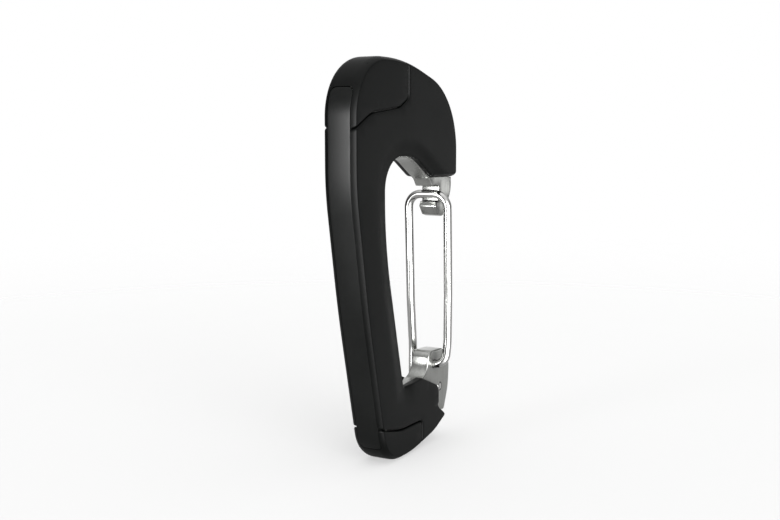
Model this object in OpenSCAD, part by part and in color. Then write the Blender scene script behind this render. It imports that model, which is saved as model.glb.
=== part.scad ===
// Carabiner with a steel core plate, two moulded covers, a bent wire gate and a flat charging lead.
// The lead lies in the spine. Its two plugs are stowed in the head and in the foot.
// X runs from the spine to the gate, Y through the thickness and Z up. Millimetres.

/* [Body] */
// Thickness of the body over both covers
body_t = 9.0; // [8.6:0.1:10]
// Bevel round the edge of each cover
edge_bevel = 0.9; // [0.5:0.1:1.0]
// Thickness of the steel core plate
plate_t = 5.2; // [4.6:0.1:5.4]
// Play between the plate and the pocket it lies in
pocket_play = 0.05; // [0.03:0.01:0.1]

/* [Gate] */
// Diameter of the gate wire
wire_d = 2.3; // [2.0:0.1:2.4]
// Width of the gate from the middle of one leg to the middle of the other
gate_w = 11.9; // [11.8:0.1:12.4]
// Radial play of the wire end in its hole
pin_play = 0.05; // [0.02:0.01:0.1]

/* [Lead] */
// Width of the flat lead
lead_w = 6.2; // [5.6:0.1:6.4]
// Thickness of the flat lead
lead_t = 2.1; // [1.8:0.1:2.2]
// Side of each insulated wire in the lead
core_w = 0.9; // [0.7:0.1:1.0]

/* [Plugs] */
// Length of the larger plug's metal shell
type_a_len = 11.75; // [11:0.05:12]
// Length of the smaller plug's metal shell
small_len = 6.0; // [5:0.1:6.2]
// Gap of the parting groove round each cap
groove_gap = 0.3; // [0.25:0.05:0.4]

/* [Hidden] */

$fn = 48;
half_t = body_t / 2;
half_plate = plate_t / 2;
wire_r = wire_d / 2;
leg_y = gate_w / 2;

// The drawing is laid out with the spine at x = 0. This moves its middle to the origin.
body_w = 53.7;
body_h = 102.3;
head_r = 14.8;
heel_x = 14.0;
to_middle = -body_w / 2;

// ---- Outlines: corners are [x, z, radius], counterclockwise ----

// Outside of the body, from the nose over the head and down the spine to the toe
shell_corners = [
    [40.6, 71.8, 1.5],     // inner end of the nose
    [53.7, 71.8, 1.6],     // outer end of the nose
    [53.7, 81.2, 18],      // shoulder
    [50.3, 95.3, 20],      // brow
    [25.5, body_h, 60],    // crown
    [0, body_h, head_r],   // head end of the spine
    [0, 70.1, 70],         // the spine starts to lean
    [5.2, 40.4, 300],      // middle of the spine
    [14.7, 0, 10],         // heel
    [28.5, 0, 40],         // sole
    [41.0, 2.5, 20],       // ball of the foot
    [49.0, 6.2, 1.3],      // toe
    [43.3, 10.0, 3],       // hollow behind the toe
    [43.3, 15.2, 3],       // knob beside the hinge ear
    [33.6, 19.2, 1.2],     // peak on the steel
    [24.4, 18.5, 0.8],     // bottom corner of the opening
    [15.1, 56.6, 95],      // inside of the spine
    [15.1, 77.9, 8.4],     // inside of the head
    [30.1, 77.9, 14]       // top of the opening
];

// Edge of the core plate that faces the opening, from the ear round to the nose
plate_inner_corners = [
    [39.5, 18.3, 4.5],     // inside of the ear
    [25.0, 17.2, 1.5],     // bottom corner of the opening
    [15.3, 56.6, 95],      // inside of the spine
    [15.3, 77.7, 8.2],     // inside of the head
    [30.0, 77.7, 14]       // top of the opening
];

// The rest of the core plate, from the nose down over the hook, up inside the head,
// down behind the lead and round the foot to the ear
plate_outer_corners = [
    [40.9, 71.4, 3],       // inside of the nose
    [42.2, 69.6, 0.2],     // lip above the notch
    [46.0, 69.6, 0.4],     // notch, upper inside corner
    [46.0, 65.2, 0.4],     // notch, lower inside corner
    [44.9, 65.4, 0.4],     // hook tip
    [44.2, 64.0, 0.4],
    [45.9, 61.7, 0.5],     // underside of the hook
    [48.9, 60.9, 2.2],
    [53.5, 67.8, 7],       // outside of the nose
    [53.5, 71.7, 0],
    [52.2, 71.7, 0],       // from here up the covers close round it
    [52.2, 85.5, 14],
    [41.6, 95.0, 3],
    [41.6, 84.0, 1],
    [22.5, 84.0, 1],       // under the head plug
    [8.5, 83.0, 4],
    [4.4, 78.0, 6],        // behind the lead's channel
    [4.4, 69.7, 60],
    [9.6, 40.6, 200],
    [15.6, 15.0, 4],
    [19.5, 11.7, 3],
    [41.2, 11.7, 1],       // over the foot plug
    [41.2, 4.8, 1],
    [47.0, 7.2, 1],
    [49.9, 6.9, 0.6],      // lower end of the ear
    [52.4, 13.0, 12],
    [53.0, 20.5, 5],       // outside of the ear
    [49.0, 24.5, 3],
    [41.0, 24.8, 2.2]      // top of the ear
];

// Regions taken by the two caps. They run past the body, which trims them.
head_cap_corners = [
    [-3, 82.0, 0],
    [0.5, 84.8, 3],
    [8.0, 88.6, 14],
    [21.6, 90.1, 4],
    [25.9, 92.3, 2],
    [25.9, 106, 0],
    [-3, 106, 0]
];
foot_cap_corners = [
    [33.6, 7.7, 1.2],
    [22.0, 7.7, 20],
    [12.5, 10.0, 3],
    [8, 10.6, 0],
    [8, -3, 0],
    [33.6, -3, 0]
];

// ---- Places that the sub-parts share ----

// Gate, as [x, z]. The near leg turns in the upper hole of the ear.
pivot = [43.9, 20.9];
anchor = [47.2, 14.0];
gate_top = [44.6, 67.3];
tail_top = [46.9, 24.0];
tail_gap = 0.3;
top_bend = 3.8;
foot_bend = 3.0;

// Lead and its channel
channel_d = lead_t + 0.1;
channel_w = lead_w + 0.3;
jacket_top_z = 83.0;
jacket_low_z = 10.8;
lead_top_z = 94.6;
lead_low_z = 4.2;
core_play = 0.05;
core_pitch = 1.4;
core_depth = lead_t / 2;
core_head_x = 14.0;
core_foot_x = 21.5;

// Larger plug, along X at height type_a_z
type_a_z = 90.9;
type_a_h = 12;
type_a_thick = 4.5;
type_a_wall = 0.3;
type_a_x = 24.0;
type_a_end = 26.9 + type_a_len;
head_body_x = 7.2;
head_body_y = 3.2;
head_body_low = 84.6;
head_body_high = 97.0;
root_x = 7.1;
root_low = 87.2;
root_high = 94.5;
root_y = 2.55;

// Smaller plug, along X at height small_z
small_z = 6.9;
small_h = 6.85;
small_thick = 1.8;
small_wall = 0.25;
small_x = 31.6;
small_end = 33.4 + small_len;
foot_body_x = 18.2;
foot_body_y = 2.8;
foot_body_low = 3.3;
foot_body_high = 10.4;
foot_root_x = 18.1;
foot_root_low = 4.8;
foot_root_high = 9.3;

type_a_window_z = 2.85;
small_hook_z = 2.3;
crimp_rim = 0.3;
head_crimp_x = [5.4, 6.8];
foot_crimp_x = [17.05, 17.95];

plug_play = 0.15;
root_play = 0.1;
signs = [-1, 1];

// Contacts, from the lowest up: how far each lies from the plug's middle
type_a_pins = [-3.5, -1.0, 1.0, 3.5];
small_pins = [-1.3, -0.65, 0, 0.65, 1.3];
small_wired = [0, 1, 2, 4];

// ---- Outline functions ----

function unit(v) = v / norm(v);

// Points of the arc of radius r that rounds corner b between its neighbours a and c
function corner_arc(a, b, c, r) =
    let (
        u = unit(a - b),
        v = unit(c - b),
        half = acos(u * v) / 2,
        run = r / tan(half),
        centre = b + unit(u + v) * r / sin(half),
        across = unit(b + u * run - centre),
        last = b + v * run - centre,
        along = unit(last - across * (last * across)),
        sweep = 180 - 2 * half,
        steps = max(2, ceil(sweep / 9))
    )
    [for (i = [0 : steps])
        centre + r * (cos(sweep * i / steps) * across + sin(sweep * i / steps) * along)];

// Place and radius of a corner, which is a place with its radius as the last number
function place(corner) = [for (i = [0 : len(corner) - 2]) corner[i]];
function radius(corner) = corner[len(corner) - 1];

// Corner i of a run, rounded between its neighbours
function smoothed(corners, before, i, after) =
    radius(corners[i]) > 0
        ? corner_arc(place(corners[before]), place(corners[i]), place(corners[after]),
                     radius(corners[i]))
        : [place(corners[i])];

// Closed outline, and open path, with their corners rounded
function closed_line(corners) =
    let (n = len(corners))
    [for (i = [0 : n - 1]) each smoothed(corners, (i + n - 1) % n, i, (i + 1) % n)];
function open_line(corners) =
    let (n = len(corners))
    [for (i = [0 : n - 1])
        each i == 0 || i == n - 1
            ? [place(corners[i])]
            : smoothed(corners, i - 1, i, i + 1)];

// Outline moved to its left by d, which is inwards on a counterclockwise one
function left_of(p, from, to, d) = let (t = unit(to - from)) p + d * [-t[1], t[0]];
function inset(line, d) =
    let (n = len(line))
    [for (i = [0 : n - 1]) left_of(line[i], line[(i + n - 1) % n], line[(i + 1) % n], d)];
function beside(path, d) =
    let (n = len(path))
    [for (i = [0 : n - 1]) left_of(path[i], path[max(i - 1, 0)], path[min(i + 1, n - 1)], d)];
function reversed(list) = [for (i = [len(list) - 1 : -1 : 0]) list[i]];

shell_line = closed_line(shell_corners);
plate_line = closed_line(concat(plate_inner_corners, plate_outer_corners));
spine_line = open_line([for (i = [4 : 9]) shell_corners[i]]);

// The plate's edge along the opening, closed off to the right of the gate
opening_line = concat(
    open_line(concat([[60, 22, 0]], plate_inner_corners, [[41.5, 71, 0]])),
    [[60, 71]]
);

// ---- Building blocks ----

// Flat shape drawn in X and Z, with thickness from y0 to y1
module slab(y0, y1) {
    translate([to_middle, y1, 0])
        rotate([90, 0, 0])
            linear_extrude(height = y1 - y0)
                children();
}

// Round bar along Y from y0 to y1
module cross_pin(at, r, y0, y1) {
    translate([to_middle + at[0], y1, at[1]])
        rotate([90, 0, 0])
            cylinder(r = r, h = y1 - y0);
}

// Box between two corners
module block(low, high) {
    translate([low[0] + to_middle, low[1], low[2]])
        cube(high - low);
}

// Quarter turn of wire, from the origin, where it runs along Y, to [0, -r, -r].
module wire_bend(r) {
    translate([0, 0, -r])
        rotate([90, 0, -90])
            rotate_extrude(angle = 90)
                translate([r, 0]) circle(r = wire_r);
}

// Three-sided ring that planes the bevel off one edge of the body: side is -1 or 1
module bevel_ring(side) {
    n = len(shell_line);
    past = 0.05;
    lines = [inset(shell_line, -0.3), inset(shell_line, edge_bevel + past),
             inset(shell_line, -0.3)];
    levels = [half_t - edge_bevel - 0.3, half_t + past, half_t + past];
    points = [for (k = [0 : 2]) for (p = lines[k]) [p[0] + to_middle, side * levels[k], p[1]]];
    walls = [for (k = [0 : 2]) for (i = [0 : n - 1])
        let (j = (i + 1) % n, m = (k + 1) % 3)
        [k * n + i, m * n + i, m * n + j, k * n + j]];
    polyhedron(points, side > 0 ? walls : [for (w = walls) reversed(w)], convexity = 10);
}

// The whole outer form: the outline with a bevel along both faces
module body_form() {
    difference() {
        slab(-half_t, half_t) polygon(shell_line);
        bevel_ring(-1);
        bevel_ring(1);
    }
}

// Band along the spine between two depths under its surface, cut to a range of heights
module spine_band(depth0, depth1, y0, y1, z0, z1) {
    intersection() {
        slab(y0, y1)
            polygon(concat(beside(spine_line, depth0), reversed(beside(spine_line, depth1))));
        block([-5, y0 - 1, z0], [24, y1 + 1, z1]);
    }
}

// Where the head's round end of the spine lies at a height
function head_edge(z) = head_r - sqrt(pow(head_r, 2) - pow(z - body_h + head_r, 2));

// Heights at which wire k enters the two plugs
function core_head_z(k) = type_a_z + 0.8 * type_a_pins[k];
function core_foot_z(k) = small_z + small_pins[small_wired[3 - k]];
function core_y(k) = (k - 1.5) * core_pitch;

// One insulated wire k, grown by play: up the spine and in to each plug's contact
module wire_run(k, play) {
    y = core_y(k);
    half = core_w / 2 + play;
    head_z = core_head_z(k);
    foot_z = core_foot_z(k);
    spine_band(core_depth - half, core_depth + half, y - half, y + half,
               foot_z - half, head_z + half);
    block([head_edge(head_z) + core_depth, y - half, head_z - half],
          [core_head_x + play, y + half, head_z + half]);
    block([heel_x, y - half, foot_z - half], [core_foot_x + play, y + half, foot_z + half]);
}

module all_wires(play) {
    for (k = [0 : 3]) wire_run(k, play);
}

// The lead's ends where they turn in from the spine to the plugs
module head_root(play) {
    intersection() {
        spine_band(0.4, 9, -root_y - play, root_y + play, root_low - play, root_high + play);
        block([-5, -5, 80], [root_x + play, 5, 100]);
    }
}
module foot_root(play) {
    intersection() {
        spine_band(0.3, 9, -root_y - play, root_y + play,
                   foot_root_low - play, foot_root_high + play);
        block([5, -5, 0], [foot_root_x + play, 5, 20]);
    }
}

// Channel that the whole lead lies in
module lead_channel() {
    spine_band(-2, channel_d, -channel_w / 2, channel_w / 2, lead_low_z - 0.1, lead_top_z + 0.1);
}

// Space that the stowed plugs slide in, inside the covers
module plug_pockets() {
    block([-2, -head_body_y - plug_play, head_body_low - plug_play],
          [27.2, head_body_y + plug_play, head_body_high + plug_play]);
    block([20, -type_a_thick / 2 - plug_play, type_a_z - type_a_h / 2 - plug_play],
          [type_a_end + 0.5, type_a_thick / 2 + plug_play, type_a_z + type_a_h / 2 + plug_play]);
    block([8, -foot_body_y - plug_play, foot_body_low - plug_play],
          [33.9, foot_body_y + plug_play, foot_body_high + plug_play]);
    block([20, -small_thick / 2 - 0.45, small_z - small_h / 2 - plug_play],
          [small_end + 0.5, small_thick / 2 + plug_play, small_z + small_h / 2 + plug_play]);
}

// ---- Frame and covers ----

module core_plate() {
    color([0.72, 0.74, 0.72])
        difference() {
            slab(-half_plate, half_plate) polygon(plate_line);
            cross_pin(pivot, wire_r + pin_play, -half_plate - 1, half_plate + 1);
            cross_pin(anchor, wire_r + pin_play, -half_plate - 1, half_plate + 1);
        }
}

module cover(y0, y1) {
    color([0.09, 0.09, 0.095])
        difference() {
            intersection() {
                body_form();
                block([-1, y0, -1], [60, y1, 110]);
            }
            slab(-half_plate - pocket_play, half_plate + pocket_play) {
                polygon(inset(plate_line, -pocket_play));
                polygon(opening_line);
            }
            slab(-half_t - 1, half_t + 1) {
                polygon(inset(closed_line(head_cap_corners), -groove_gap / 2));
                polygon(inset(closed_line(foot_cap_corners), -groove_gap / 2));
            }
            lead_channel();
            plug_pockets();
            head_spring_seat();
            foot_spring_seat();
        }
}

module front_cover() { cover(-half_t - 1, 0); }
module rear_cover() { cover(0, half_t + 1); }

// ---- Gate ----

// Length of wire along Z, from z = -length to 0
module wire_down(length) {
    translate([0, 0, -length]) cylinder(r = wire_r, h = length);
}

// How far a leg that runs from foot up to top leans
function lean_of(foot, top) = atan2(top[0] - foot[0], top[1] - foot[1]);

// Places its children at a point, leaning as that leg does
module leaning(at, foot, top) {
    translate([to_middle + at[0], 0, at[1]]) rotate([0, lean_of(foot, top), 0]) children();
}

// Top corner and leg on the -Y side, hanging from the bar's line
module corner_and_leg(leg_length) {
    translate([0, -leg_y + top_bend, 0]) wire_bend(top_bend);
    translate([0, -leg_y, -top_bend]) wire_down(leg_length - top_bend);
}

// Corner at a leg's lower end and the pin that follows it, on the -Y side
module leg_foot(pin_end) {
    translate([0, -leg_y + foot_bend, 0]) mirror([0, 0, 1]) wire_bend(foot_bend);
    translate([0, pin_end, 0]) rotate([-90, 0, 0]) wire_down(pin_end + leg_y - foot_bend);
}

module gate_wire() {
    near_length = norm(gate_top - pivot);
    far_foot = tail_top + [0, tail_gap];
    bar = leg_y - top_bend;
    color([0.85, 0.86, 0.87]) {
        leaning(gate_top, pivot, gate_top) {
            corner_and_leg(near_length - foot_bend);
            translate([0, 0, -near_length]) leg_foot(half_plate);
        }
        leaning(gate_top, far_foot, gate_top)
            mirror([0, 1, 0])
                corner_and_leg(norm(gate_top - far_foot));
        cross_pin(gate_top, wire_r, -bar, bar);
    }
}

module gate_tail() {
    tail_length = norm(tail_top - anchor);
    color([0.85, 0.86, 0.87])
        leaning(anchor, anchor, tail_top)
            mirror([0, 1, 0]) {
                leg_foot(half_plate);
                translate([0, -leg_y, tail_length]) wire_down(tail_length - foot_bend);
            }
}

// ---- Caps: the housings of the two plugs ----

module cap(corners) {
    color([0.09, 0.09, 0.095])
        difference() {
            intersection() {
                body_form();
                slab(-half_t - 1, half_t + 1)
                    polygon(inset(closed_line(corners), groove_gap / 2));
            }
            lead_channel();
            children();
        }
}

module head_cap() {
    cap(head_cap_corners) {
        head_root(root_play);
        block([5.2, -head_body_y, head_body_low], [type_a_x, head_body_y, head_body_high]);
        block([20, -type_a_thick / 2, type_a_z - type_a_h / 2],
              [30, type_a_thick / 2, type_a_z + type_a_h / 2]);
    }
}

module foot_cap() {
    cap(foot_cap_corners) {
        foot_root(root_play);
        block([16.2, -foot_body_y, foot_body_low], [small_x, foot_body_y, 12]);
        block([30, -small_thick / 2, small_z - small_h / 2],
              [40, small_thick / 2, small_z + small_h / 2]);
    }
}

// ---- Larger plug ----

module head_plug_body() {
    color([0.16, 0.16, 0.17])
        difference() {
            block([head_body_x, -head_body_y, head_body_low],
                  [type_a_x, head_body_y, head_body_high]);
            type_a_tongue_form();
            type_a_contact_forms();
            all_wires(core_play);
        }
}

module type_a_shell() {
    inner = type_a_wall;
    color([0.8, 0.81, 0.82])
        difference() {
            block([type_a_x, -type_a_thick / 2, type_a_z - type_a_h / 2],
                  [type_a_end, type_a_thick / 2, type_a_z + type_a_h / 2]);
            block([type_a_x - 1, -type_a_thick / 2 + inner, type_a_z - type_a_h / 2 + inner],
                  [type_a_end + 1, type_a_thick / 2 - inner, type_a_z + type_a_h / 2 - inner]);
            for (side = signs)
                block([type_a_end - 6.4, -3, type_a_z + side * type_a_window_z - 1.25],
                      [type_a_end - 4.4, 3, type_a_z + side * type_a_window_z + 1.25]);
        }
}

module type_a_tongue_form() {
    block([21.5, -type_a_thick / 2 + type_a_wall, type_a_z - 5.6],
          [type_a_end - 0.7, -0.1, type_a_z + 5.6]);
}

// Each contact lies on the tongue and has a tab that reaches its wire
module type_a_contact_forms() {
    for (k = [0 : 3]) {
        z = type_a_z + type_a_pins[k];
        block([14.2, -0.3, z - 0.5], [type_a_end - 1.2, -0.05, z + 0.5]);
        block([14.1, min(core_y(k), -0.3), z - 0.5], [14.5, max(core_y(k), -0.05), z + 0.5]);
    }
}

module type_a_tongue() {
    color([0.93, 0.93, 0.9])
        difference() {
            type_a_tongue_form();
            type_a_contact_forms();
        }
}

module type_a_contacts() {
    color([0.85, 0.68, 0.3]) type_a_contact_forms();
}

module head_crimp() {
    color([0.7, 0.7, 0.68])
        difference() {
            block([head_crimp_x[0], -head_body_y + 0.1, root_low - crimp_rim],
                  [head_crimp_x[1], head_body_y - 0.1, root_high + crimp_rim]);
            block([head_crimp_x[0] - 1, -root_y, root_low],
                  [head_crimp_x[1] + 1, root_y, root_high]);
        }
}

module head_lead_end() {
    color([0.2, 0.2, 0.21])
        difference() {
            union() {
                spine_band(0, lead_t, -lead_w / 2, lead_w / 2, jacket_top_z + 0.1, lead_top_z);
                head_root(0);
            }
            all_wires(core_play);
        }
}

// ---- Smaller plug ----

module foot_plug_body() {
    color([0.16, 0.16, 0.17])
        difference() {
            block([foot_body_x, -foot_body_y, foot_body_low],
                  [small_x, foot_body_y, foot_body_high]);
            foot_tongue_form();
            foot_contact_forms();
            foot_hook_forms();
            all_wires(core_play);
        }
}

module foot_plug_shell() {
    inner = small_wall;
    color([0.8, 0.81, 0.82])
        difference() {
            block([small_x, -small_thick / 2, small_z - small_h / 2],
                  [small_end, small_thick / 2, small_z + small_h / 2]);
            block([small_x - 1, -small_thick / 2 + inner, small_z - small_h / 2 + inner],
                  [small_end + 1, small_thick / 2 - inner, small_z + small_h / 2 - inner]);
            for (side = signs)
                block([small_end - 2.2, -2, small_z + side * small_hook_z - 0.45],
                      [small_end - 1.0, 0, small_z + side * small_hook_z + 0.45]);
        }
}

module foot_tongue_form() {
    block([29.5, 0, small_z - 2.6], [small_end - 0.5, small_thick / 2 - small_wall, small_z + 2.6]);
}

module foot_contact_forms() {
    for (pin = small_pins)
        block([21.8, -0.12, small_z + pin - 0.18], [small_end - 0.8, 0.08, small_z + pin + 0.18]);
    for (k = [0 : 3])
        block([21.6, min(core_y(k), -0.12), core_foot_z(k) - 0.18],
              [22.0, max(core_y(k), 0.08), core_foot_z(k) + 0.18]);
}

// Two sprung arms inside the shell, each with a hook that stands through a slot
module foot_hook_forms() {
    for (side = signs) {
        z = small_z + side * small_hook_z;
        block([30.4, -0.6, z - 0.35], [small_end - 1.2, -0.4, z + 0.35]);
        block([small_end - 2.0, -1.1, z - 0.35], [small_end - 1.2, -0.5, z + 0.35]);
    }
}

module foot_plug_tongue() {
    color([0.1, 0.1, 0.11])
        difference() {
            foot_tongue_form();
            foot_contact_forms();
        }
}

module foot_plug_contacts() {
    color([0.85, 0.68, 0.3]) foot_contact_forms();
}

module foot_plug_hooks() {
    color([0.8, 0.81, 0.82]) foot_hook_forms();
}

module foot_crimp() {
    color([0.7, 0.7, 0.68])
        difference() {
            block([foot_crimp_x[0], -foot_body_y + 0.05, foot_root_low - crimp_rim],
                  [foot_crimp_x[1], foot_body_y - 0.05, foot_root_high + crimp_rim]);
            block([foot_crimp_x[0] - 1, -root_y, foot_root_low],
                  [foot_crimp_x[1] + 1, root_y, foot_root_high]);
        }
}

module foot_lead_end() {
    color([0.2, 0.2, 0.21])
        difference() {
            union() {
                spine_band(0, lead_t, -lead_w / 2, lead_w / 2, lead_low_z, jacket_low_z - 0.1);
                foot_root(0);
            }
            all_wires(core_play);
        }
}

// ---- Lead ----

module lead_jacket() {
    color([0.2, 0.2, 0.21])
        difference() {
            spine_band(0, lead_t, -lead_w / 2, lead_w / 2, jacket_low_z, jacket_top_z);
            all_wires(core_play);
        }
}

module wire_power() { color([0.7, 0.1, 0.08]) wire_run(0, 0); }
module wire_data_minus() { color([0.85, 0.85, 0.82]) wire_run(1, 0); }
module wire_data_plus() { color([0.1, 0.45, 0.2]) wire_run(2, 0); }
module wire_ground() { color([0.05, 0.05, 0.05]) wire_run(3, 0); }

// ---- Leaf springs that hold the stowed plugs ----

spring_t = 0.3;
head_spring_y = type_a_thick / 2 + plug_play + 0.15;
foot_spring_y = small_thick / 2 + plug_play + 0.15;

module leaf_spring(x0, x1, z, half_h, y) {
    color([0.75, 0.74, 0.7]) {
        block([x0, y, z - half_h], [x1, y + spring_t, z + half_h]);
        block([(x0 + x1) / 2 - 0.6, y - 0.25, z - half_h + 0.4],
              [(x0 + x1) / 2 + 0.6, y + 0.1, z + half_h - 0.4]);
    }
}

module head_grip_spring() { leaf_spring(29.5, 37.5, type_a_z, 2.4, head_spring_y); }
module foot_grip_spring() { leaf_spring(34.2, 38.8, small_z, 1.6, foot_spring_y); }

module head_spring_seat() {
    block([29.4, 0, type_a_z - 2.5], [37.6, head_spring_y + spring_t + 0.05, type_a_z + 2.5]);
}
module foot_spring_seat() {
    block([34.1, 0, small_z - 1.7], [38.9, foot_spring_y + spring_t + 0.05, small_z + 1.7]);
}

// ---- Placing ----

core_plate();
front_cover();
rear_cover();
gate_wire();
gate_tail();
head_cap();
head_plug_body();
type_a_shell();
type_a_tongue();
type_a_contacts();
head_crimp();
head_lead_end();
foot_cap();
foot_plug_body();
foot_plug_shell();
foot_plug_tongue();
foot_plug_contacts();
foot_plug_hooks();
foot_crimp();
foot_lead_end();
lead_jacket();
wire_power();
wire_ground();
wire_data_plus();
wire_data_minus();
head_grip_spring();
foot_grip_spring();
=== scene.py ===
import math

import bmesh
import bpy
import numpy as np
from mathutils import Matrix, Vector
from mathutils.geometry import delaunay_2d_cdt


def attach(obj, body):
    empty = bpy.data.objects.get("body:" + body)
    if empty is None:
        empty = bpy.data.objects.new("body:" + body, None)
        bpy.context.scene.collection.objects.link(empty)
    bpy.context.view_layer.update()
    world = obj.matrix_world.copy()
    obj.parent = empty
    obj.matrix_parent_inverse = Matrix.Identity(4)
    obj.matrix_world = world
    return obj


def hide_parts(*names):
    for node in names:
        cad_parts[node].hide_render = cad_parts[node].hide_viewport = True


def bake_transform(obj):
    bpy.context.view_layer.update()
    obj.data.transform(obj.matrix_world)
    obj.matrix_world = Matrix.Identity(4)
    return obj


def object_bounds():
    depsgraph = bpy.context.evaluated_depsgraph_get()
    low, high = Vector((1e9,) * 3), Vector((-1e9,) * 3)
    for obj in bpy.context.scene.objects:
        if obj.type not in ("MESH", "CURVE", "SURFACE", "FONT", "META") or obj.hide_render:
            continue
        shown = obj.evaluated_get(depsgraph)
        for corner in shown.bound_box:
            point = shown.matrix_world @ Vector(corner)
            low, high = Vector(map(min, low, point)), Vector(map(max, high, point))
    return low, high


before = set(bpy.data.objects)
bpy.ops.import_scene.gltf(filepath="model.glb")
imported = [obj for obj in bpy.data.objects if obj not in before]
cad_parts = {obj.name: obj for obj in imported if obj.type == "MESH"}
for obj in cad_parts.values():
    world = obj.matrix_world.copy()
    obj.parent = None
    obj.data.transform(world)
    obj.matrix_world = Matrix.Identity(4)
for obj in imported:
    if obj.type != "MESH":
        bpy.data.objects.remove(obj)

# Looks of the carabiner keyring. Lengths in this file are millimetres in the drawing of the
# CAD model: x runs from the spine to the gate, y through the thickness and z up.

MM = 0.001
CAD_LOW, CAD_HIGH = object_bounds()
SPINE_X = CAD_LOW.x

# ---------------------------------------------------------------- sizes

HALF_T = 4.5              # half the thickness over the covers
HALF_PLATE = 2.6          # half the thickness of the steel plate
EDGE_R = 3.2              # rounding of the body's outside
EDGE_TURN = math.radians(45)   # which meets the faces in a crease at this angle
CREASE = 0.14             # how far the crease is softened
OPENING_EDGE_R = 0.4      # rounding of the edges round the opening
GROOVE_GAP = 0.3          # parting groove between a cap and the covers
GROOVE_R = 0.5            # rounding of the groove's lips
SOFT_W = 5.0              # width of the soft slope towards the opening
SOFT_DROP = 0.5           # how far that slope drops
PLATE_R = 0.4             # rounding of the plate's edges
WIRE_R = 1.15             # gate wire
LEG_Y = 5.95              # half the gate's width, between the wire's middles
LEAD_W = 6.3              # flat lead
LEAD_T = 2.1
LEAD_END_R = 1.7
COVER_PLAY = 0.03         # room beside the lead in the covers
CAP_PLAY = 0.13           # and in the head cap
LEAD_TOP, LEAD_LOW = 94.6, 4.2       # heights of its two rounded ends
LEAD_SPLIT = 47.0         # where its two pieces meet
LEAD_CROWN, LEAD_EDGE = 0.12, 0.14   # how far its outside falls to the edges, and their rounding
TYPE_A_Z, SMALL_Z = 90.9, 6.9        # middle heights of the two plugs
COVER_PARTING = 0.02      # half the gap between the two covers
COVER_CHAMFER = 0.1       # broken edge along that gap
POCKET_PLAY = 0.03        # room beside the plate in the covers
PLATE_PLAY = 0.04         # and round its edge
HOLE_PLAY = 0.07          # room round the wire in the plate's holes

# ---------------------------------------------------------------- outlines: [x, z, radius]

SHELL_CORNERS = [
    (40.6, 71.8, 1.5),    # inner end of the nose
    (53.7, 71.8, 1.6),    # outer end of the nose
    (53.7, 81.2, 18),     # shoulder
    (50.3, 95.3, 20),     # brow
    (25.5, 102.3, 60),    # crown
    (0, 102.3, 14.8),     # head end of the spine
    (0, 70.1, 70),        # the spine starts to lean
    (5.2, 40.4, 300),     # middle of the spine
    (14.7, 0, 10),        # heel
    (28.5, 0, 40),        # sole
    (41.0, 2.5, 20),      # ball of the foot
    (49.0, 6.2, 1.3),     # toe
    (43.3, 10.0, 3),      # hollow behind the toe
    (43.3, 15.2, 3),      # knob beside the hinge ear
    (33.6, 19.2, 1.2),    # peak on the steel
    (24.4, 18.5, 0.8),    # bottom corner of the opening
    (15.1, 56.6, 95),     # inside of the spine
    (15.1, 77.9, 8.4),    # inside of the head
    (30.1, 77.9, 14),     # top of the opening
]
SPINE_RANGE = (4, 10)     # the corners that the spine runs through
SPINE_END_X = 20          # its surface is followed to this far from its outermost point
SOFT_RANGE = (15, 20)     # the corners along the opening
HOLLOW = 12               # the corner behind the toe, where the rounded outside ends
SOFT_END = (45.5, 69.0, 0)           # the soft slope runs out towards this point

PLATE_CORNERS = [
    (39.5, 18.3, 4.5),    # inside of the ear
    (25.0, 17.2, 1.5),    # bottom corner of the opening
    (15.3, 56.6, 95),     # inside of the spine
    (15.3, 77.7, 8.2),    # inside of the head
    (30.0, 77.7, 14),     # top of the opening
    (40.9, 71.4, 3),      # inside of the nose
    (42.2, 69.6, 0.2),    # lip above the notch
    (46.0, 69.6, 0.4),    # notch
    (46.0, 65.2, 0.4),
    (44.9, 65.4, 0.4),    # hook tip
    (44.2, 64.0, 0.4),
    (45.9, 61.7, 0.5),    # underside of the hook
    (48.9, 60.9, 2.2),
    (53.5, 67.8, 7),      # outside of the nose
    (53.5, 71.7, 0),
    (52.2, 71.7, 0),      # from here up the covers close round it
    (52.2, 85.5, 14),
    (41.6, 95.0, 3),
    (41.6, 84.0, 1),
    (22.5, 84.0, 1),      # under the head plug
    (8.5, 83.0, 4),
    (4.4, 78.0, 6),       # behind the lead's channel
    (4.4, 69.7, 60),
    (9.6, 40.6, 200),
    (15.6, 15.0, 4),
    (19.5, 11.7, 3),
    (41.2, 11.7, 1),      # over the foot plug
    (41.2, 4.8, 1),
    (47.0, 7.2, 1),
    (49.9, 6.9, 0.6),     # lower end of the ear
    (52.4, 13.0, 12),
    (53.0, 20.5, 5),      # outside of the ear
    (49.0, 24.5, 3),
    (41.0, 24.8, 2.2),    # top of the ear
]
PLATE_INNER = 5           # so many of these corners lie along the opening
OPENING_START = (60, 22, 0)          # the opening is closed off to the right of the gate
OPENING_END = [(41.5, 71, 0), (60, 71, 0)]
PIVOT = (43.9, 20.9)      # the wire turns here
ANCHOR = (47.2, 14.0)     # and is held here

# The caps' edges run past the body, which trims them.
HEAD_CAP_CORNERS = [
    (-3, 82.0, 0), (0.5, 84.8, 3), (8.0, 88.6, 14), (21.6, 90.1, 4), (25.9, 92.3, 2),
    (25.9, 106, 0), (-3, 106, 0),
]
FOOT_CAP_CORNERS = [
    (33.6, 7.7, 1.2), (22.0, 7.7, 20), (12.5, 10.0, 3), (8, 10.6, 0), (8, -3, 0), (33.6, -3, 0),
]

# ---------------------------------------------------------------- plane geometry


def unit(v):
    """A vector of length 1 along v."""
    return v / max(np.linalg.norm(v), 1e-12)


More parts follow.
